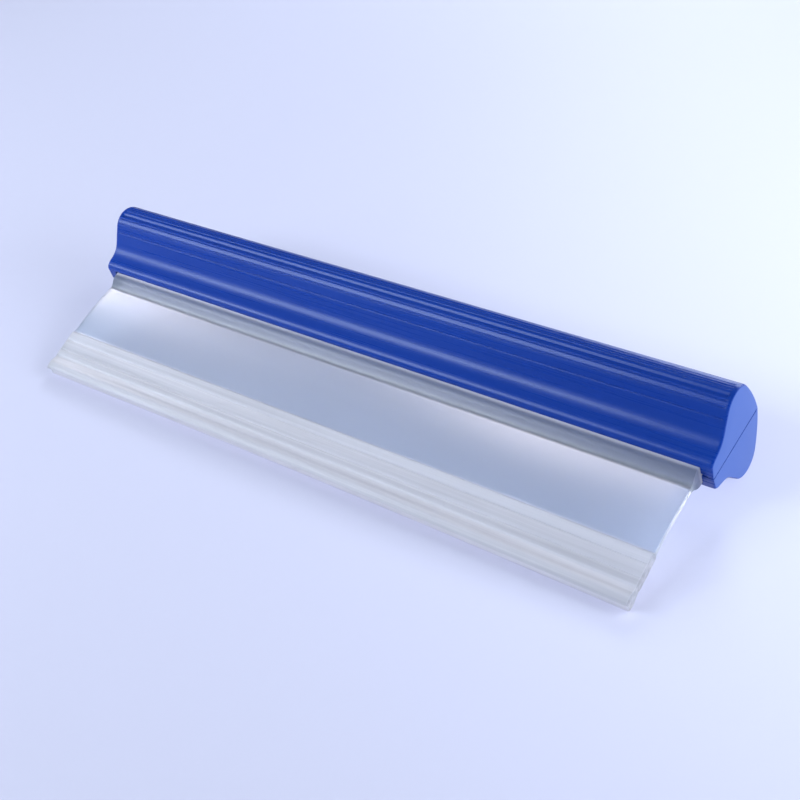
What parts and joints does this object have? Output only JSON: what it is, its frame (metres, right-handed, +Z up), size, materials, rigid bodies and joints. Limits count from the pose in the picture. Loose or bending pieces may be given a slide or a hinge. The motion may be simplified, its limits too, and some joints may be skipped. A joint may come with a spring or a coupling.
{
  "type": "silicone blade squeegee",
  "caption": "Hand squeegee: long ribbed two-shell plastic handle clamping a translucent silicone blade with a thin flexible web and a thick double-edged lip.",
  "frame": {"origin": "middle of the bounding box on the surface that it lies on", "axes": "+X along the handle, -Y from the handle to the blade's tip, +Z up; it lies on the handle's belly and the blade's tip, as it is put down on a table"},
  "size_m": [0.3, 0.0856, 0.0424],
  "materials": {
    "handle_plastic": "semi-gloss moulded plastic with fine length-wise grain",
    "silicone": "milky translucent silicone, satin"
  },
  "bodies": {
    "handle": {"handle_upper": "handle_plastic", "handle_lower": "handle_plastic", "blade_root": "silicone"},
    "blade": {"blade_web": "silicone", "blade_lip": "silicone"}
  },
  "joints": [
    {"name": "blade_flex", "type": "hinge", "parent": "handle", "child": "blade", "pos_m": [0, -0.00841, 0.01386], "axis": [1, 0, 0], "range_deg": [-45, 45], "stiffness_Nm_per_rad": 0.12}
  ]
}
